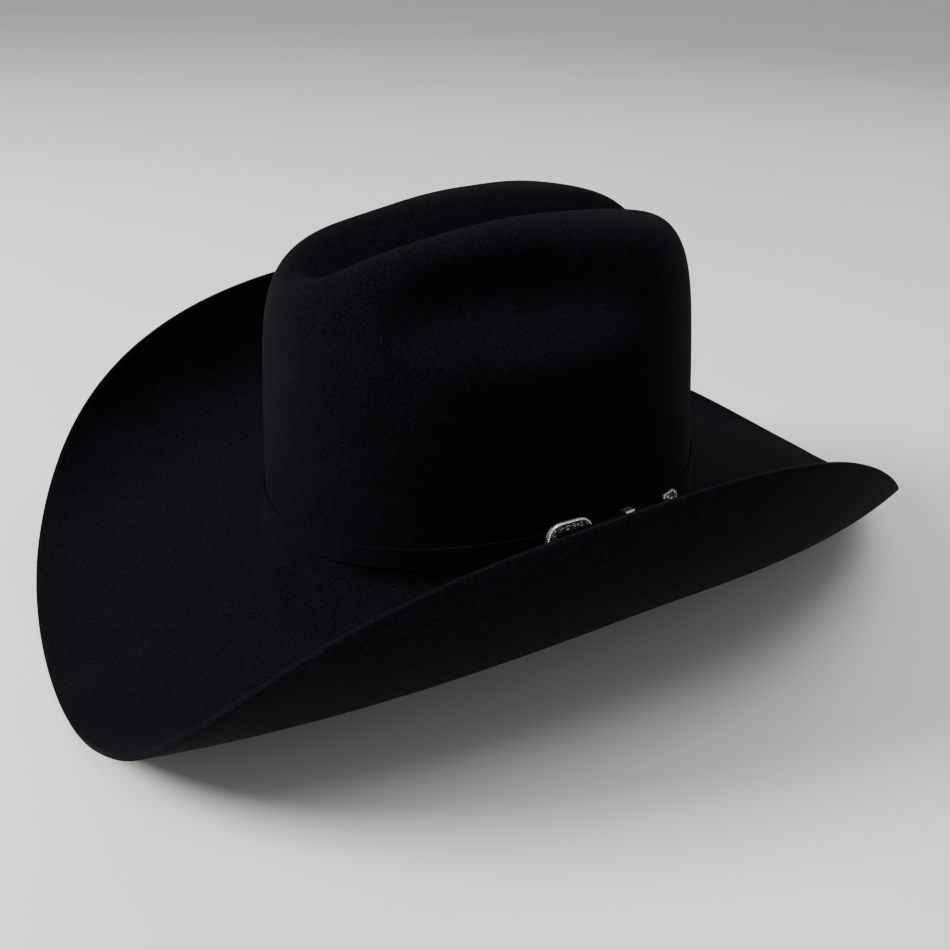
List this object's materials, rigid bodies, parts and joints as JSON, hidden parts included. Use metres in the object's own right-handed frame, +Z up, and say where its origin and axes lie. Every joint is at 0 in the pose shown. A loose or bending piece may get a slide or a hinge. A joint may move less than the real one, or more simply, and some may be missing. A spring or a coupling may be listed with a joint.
{
  "type": "cowboy hat",
  "caption": "Black felt western hat with a creased crown, rolled brim, narrow felt band with an engraved buckle set, leather sweatband and lining.",
  "frame": {"origin": "centre of the bounding box in plan, at the height of the lowest points of the brim edge, which are on the table", "axes": "+Z up out of the crown, -Y towards the front of the hat, +X towards the wearer's left, where the buckle set is"},
  "size_m": [0.3343, 0.4279, 0.1738],
  "materials": {
    "felt": "fine short-nap fur felt, matte black",
    "felt_strap": "cut strip of the same black felt",
    "silver": "engraved nickel-silver plate, polished with dark recesses",
    "silver_plain": "plain nickel-silver wire",
    "sweat_leather": "smooth black roan leather",
    "reed": "flexible plastic reed",
    "tape": "woven cotton tape",
    "satin": "charcoal satin",
    "piping": "satin cord",
    "shield": "clear film",
    "ticket": "blank paper ticket",
    "ribbon": "grosgrain ribbon",
    "thread": "twisted thread"
  },
  "bodies": {
    "hat": {"felt_body": "felt", "sweatband_leather": "sweat_leather", "sweatband_reed": "reed", "sweatband_tape": "tape", "sweatband_seam_tape": "tape", "sweatband_bow": "ribbon", "sweatband_stitches": "thread", "size_ticket": "ticket", "lining_side": "satin", "lining_tip": "satin", "lining_piping": "piping", "lining_shield": "shield", "hat_band_strap": "felt_strap", "band_fold_stitch": "thread", "band_tacks": "thread", "strap_tip": "silver", "tip_pins": "silver_plain"},
    "buckle": {"buckle_frame": "silver", "buckle_bar": "silver_plain"},
    "tongue": {"buckle_tongue": "silver_plain"},
    "keeper": {"keeper_loop": "silver"}
  },
  "joints": [
    {"name": "buckle_lift", "type": "hinge", "parent": "hat", "child": "buckle", "pos_m": [0.09209, -0.01671, 0.05819], "axis": [-0.1148, -0.0047, 0.9934], "range_deg": [0, 10]},
    {"name": "tongue_lift", "type": "hinge", "parent": "buckle", "child": "tongue", "pos_m": [0.09209, -0.01671, 0.05819], "axis": [-0.1148, -0.0047, 0.9934], "range_deg": [0, 20]},
    {"name": "keeper_slide", "type": "slide", "parent": "hat", "child": "keeper", "axis": [-0.159, 0.9868, -0.0316], "range_m": [-0.003, 0.003]}
  ]
}
